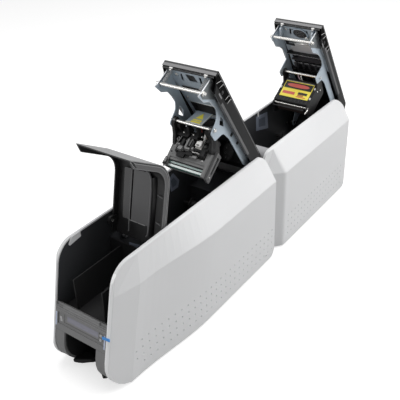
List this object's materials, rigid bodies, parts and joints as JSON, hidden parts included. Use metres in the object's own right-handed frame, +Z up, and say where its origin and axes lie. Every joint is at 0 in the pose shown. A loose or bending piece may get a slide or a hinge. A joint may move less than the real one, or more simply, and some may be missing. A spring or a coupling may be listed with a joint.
{
  "type": "id card printer",
  "caption": "Desktop ID card printer with a docked laminator; front cover and two lids stand open over their steel frames, print head and heater.",
  "frame": {"origin": "on the table below the middle of the whole object with its covers open", "axes": "+X right as seen from the front, +Y towards the rear, +Z up"},
  "size_m": [0.173, 0.827, 0.4189],
  "materials": {
    "white_cover": "fine satin texture",
    "black_plastic": "fine matt texture",
    "dark_plastic": "fine satin texture",
    "bezel_plastic": "fine satin texture",
    "mid_plastic": "satin",
    "display": "clear and smooth",
    "lamp": "frosted",
    "blue_film": "thin glossy film",
    "rubber": "matt",
    "grey_rubber": "soft and tacky",
    "red_rubber": "silicone, matt",
    "zinc_steel": "zinc plated sheet",
    "base_steel": "zinc plated sheet",
    "bright_steel": "ground bright",
    "spring_steel": "drawn wire",
    "mint_ceramic": "glazed strips",
    "white_lead": "soft sleeve and connector",
    "pink_lead": "soft sleeve",
    "yellow_plate": "flat print, bare of lettering",
    "motor_case": "satin",
    "brass": "machined",
    "board": "solder mask",
    "supply_case": "folded sheet"
  },
  "bodies": {
    "base": {"printer_side_cover_right": "white_cover", "printer_side_cover_left": "white_cover", "laminator_side_cover_right": "white_cover", "laminator_side_cover_left": "white_cover", "printer_chassis": "black_plastic", "laminator_chassis": "black_plastic", "base_plates": "base_steel", "rubber_feet": "rubber", "front_bezel": "bezel_plastic", "display_window": "display", "status_lamps": "lamp", "film_pull_tab": "blue_film", "card_outlet_bowl": "black_plastic", "card_hopper": "dark_plastic", "printer_belt": "rubber", "laminator_belt": "rubber", "drive_motors": "motor_case", "lid_strikers": "base_steel", "hinge_pins": "bright_steel", "laminator_front_deck": "bezel_plastic", "power_inlet": "black_plastic", "main_board": "board", "power_supply": "supply_case", "cover_screws": "bright_steel"},
    "front_cover": {"front_cover": "dark_plastic"},
    "printer_lid": {"printer_lid_shell": "dark_plastic", "printer_lid_frame": "zinc_steel", "printer_latch_springs": "spring_steel"},
    "laminator_lid": {"laminator_lid_shell": "dark_plastic", "laminator_lid_frame": "zinc_steel"},
    "printer_latch": {"printer_latch_shaft": "bright_steel"},
    "laminator_latch": {"laminator_latch_shaft": "bright_steel"},
    "print_head": {"head_shaft": "bright_steel", "head_carriage": "mid_plastic", "thermal_head": "mint_ceramic", "head_side_rail": "dark_plastic", "head_cable": "white_lead", "head_guard_plate": "zinc_steel"},
    "heater": {"heater_rods": "bright_steel", "heater_housing": "black_plastic", "heater_name_plate": "yellow_plate", "heater_wires": "pink_lead"},
    "heat_roller": {"heat_roller": "red_rubber"},
    "left_key": {"left_key": "mid_plastic"},
    "upper_right_key": {"upper_right_key": "mid_plastic"},
    "lower_right_key": {"lower_right_key": "mid_plastic"},
    "pick_roller": {"pick_roller": "rubber"},
    "cleaning_roller": {"cleaning_roller": "grey_rubber"},
    "feed_roller": {"feed_roller": "rubber"},
    "platen_roller": {"platen_roller": "rubber"},
    "exit_roller": {"exit_roller": "rubber"},
    "printer_pinion": {"printer_pinion": "brass"},
    "ribbon_supply": {"ribbon_supply_spindle": "dark_plastic"},
    "ribbon_takeup": {"ribbon_takeup_spindle": "dark_plastic"},
    "intake_roller": {"intake_roller": "rubber"},
    "pressure_roller": {"pressure_roller": "red_rubber"},
    "outlet_roller": {"outlet_roller": "rubber"},
    "laminator_pinion": {"laminator_pinion": "brass"},
    "film_supply": {"film_supply_spindle": "dark_plastic"},
    "film_takeup": {"film_takeup_spindle": "dark_plastic"}
  },
  "joints": [
    {"name": "front_cover_hinge", "type": "hinge", "parent": "base", "child": "front_cover", "pos_m": [0, -0.26454, 0.204], "axis": [1, 0, 0], "range_deg": [0, 103]},
    {"name": "printer_lid_hinge", "type": "hinge", "parent": "base", "child": "printer_lid", "pos_m": [0, 0.01606, 0.19], "axis": [1, 0, 0], "range_deg": [0, 57]},
    {"name": "laminator_lid_hinge", "type": "hinge", "parent": "base", "child": "laminator_lid", "pos_m": [0, 0.34556, 0.1405], "axis": [1, 0, 0], "range_deg": [0, 55.8]},
    {"name": "print_head_swing", "type": "hinge", "parent": "printer_lid", "child": "print_head", "pos_m": [0, -0.09793, 0.31688], "axis": [1, 0, 0], "range_deg": [0, 4], "stiffness_Nm_per_rad": 1, "springref_deg": -6.88},
    {"name": "heater_swing", "type": "hinge", "parent": "laminator_lid", "child": "heater", "pos_m": [0, 0.2873, 0.28227], "axis": [1, 0, 0], "range_deg": [0, 3], "stiffness_Nm_per_rad": 1, "springref_deg": -6.88},
    {"name": "printer_latch_slide", "type": "slide", "parent": "printer_lid", "child": "printer_latch", "axis": [0, 0.5446, -0.8387], "range_m": [0, 0.003], "stiffness_N_per_m": 300, "springref_m": -0.004},
    {"name": "laminator_latch_slide", "type": "slide", "parent": "laminator_lid", "child": "laminator_latch", "axis": [0, 0.5621, -0.8271], "range_m": [0, 0.003], "stiffness_N_per_m": 300, "springref_m": -0.004},
    {"name": "left_key_press", "type": "slide", "parent": "base", "child": "left_key", "axis": [0, 0.9703, -0.2419], "range_m": [0, 0.0008], "stiffness_N_per_m": 400, "springref_m": -0.0006},
    {"name": "upper_right_key_press", "type": "slide", "parent": "base", "child": "upper_right_key", "axis": [0, 0.9703, -0.2419], "range_m": [0, 0.0008], "stiffness_N_per_m": 400, "springref_m": -0.0006},
    {"name": "lower_right_key_press", "type": "slide", "parent": "base", "child": "lower_right_key", "axis": [0, 0.9703, -0.2419], "range_m": [0, 0.0008], "stiffness_N_per_m": 400, "springref_m": -0.0006},
    {"name": "heat_roller_spin", "type": "hinge", "parent": "heater", "child": "heat_roller", "pos_m": [0, 0.25302, 0.22028], "axis": [1, 0, 0], "continuous": true},
    {"name": "pick_roller_spin", "type": "hinge", "parent": "base", "child": "pick_roller", "pos_m": [0, -0.31294, 0.0966], "axis": [1, 0, 0], "continuous": true},
    {"name": "cleaning_roller_spin", "type": "hinge", "parent": "base", "child": "cleaning_roller", "pos_m": [0, -0.24894, 0.0916], "axis": [1, 0, 0], "continuous": true},
    {"name": "feed_roller_spin", "type": "hinge", "parent": "base", "child": "feed_roller", "pos_m": [0, -0.20594, 0.0916], "axis": [1, 0, 0], "continuous": true},
    {"name": "platen_roller_spin", "type": "hinge", "parent": "base", "child": "platen_roller", "pos_m": [0, -0.10294, 0.0916], "axis": [1, 0, 0], "continuous": true},
    {"name": "exit_roller_spin", "type": "hinge", "parent": "base", "child": "exit_roller", "pos_m": [0, 0.00606, 0.0916], "axis": [1, 0, 0], "continuous": true},
    {"name": "intake_roller_spin", "type": "hinge", "parent": "base", "child": "intake_roller", "pos_m": [0, 0.07106, 0.0916], "axis": [1, 0, 0], "continuous": true},
    {"name": "pressure_roller_spin", "type": "hinge", "parent": "base", "child": "pressure_roller", "pos_m": [0, 0.22756, 0.0916], "axis": [1, 0, 0], "continuous": true},
    {"name": "outlet_roller_spin", "type": "hinge", "parent": "base", "child": "outlet_roller", "pos_m": [0, 0.32506, 0.0916], "axis": [1, 0, 0], "continuous": true},
    {"name": "printer_pinion_spin", "type": "hinge", "parent": "base", "child": "printer_pinion", "pos_m": [0, -0.10294, 0.0676], "axis": [1, 0, 0], "continuous": true},
    {"name": "laminator_pinion_spin", "type": "hinge", "parent": "base", "child": "laminator_pinion", "pos_m": [0, 0.22756, 0.0676], "axis": [1, 0, 0], "continuous": true},
    {"name": "ribbon_supply_spin", "type": "hinge", "parent": "base", "child": "ribbon_supply", "pos_m": [0, -0.17894, 0.132], "axis": [1, 0, 0], "continuous": true},
    {"name": "ribbon_takeup_spin", "type": "hinge", "parent": "base", "child": "ribbon_takeup", "pos_m": [0, -0.06294, 0.132], "axis": [1, 0, 0], "continuous": true},
    {"name": "film_supply_spin", "type": "hinge", "parent": "base", "child": "film_supply", "pos_m": [0, 0.15056, 0.139], "axis": [1, 0, 0], "continuous": true},
    {"name": "film_takeup_spin", "type": "hinge", "parent": "base", "child": "film_takeup", "pos_m": [0, 0.28356, 0.129], "axis": [1, 0, 0], "continuous": true}
  ],
  "couplings": [
    {"joint": "cleaning_roller_spin", "follows": "platen_roller_spin", "ratio": 1},
    {"joint": "feed_roller_spin", "follows": "platen_roller_spin", "ratio": 1},
    {"joint": "exit_roller_spin", "follows": "platen_roller_spin", "ratio": 1},
    {"joint": "printer_pinion_spin", "follows": "platen_roller_spin", "ratio": -3},
    {"joint": "intake_roller_spin", "follows": "pressure_roller_spin", "ratio": 1},
    {"joint": "outlet_roller_spin", "follows": "pressure_roller_spin", "ratio": 1},
    {"joint": "laminator_pinion_spin", "follows": "pressure_roller_spin", "ratio": -3}
  ]
}
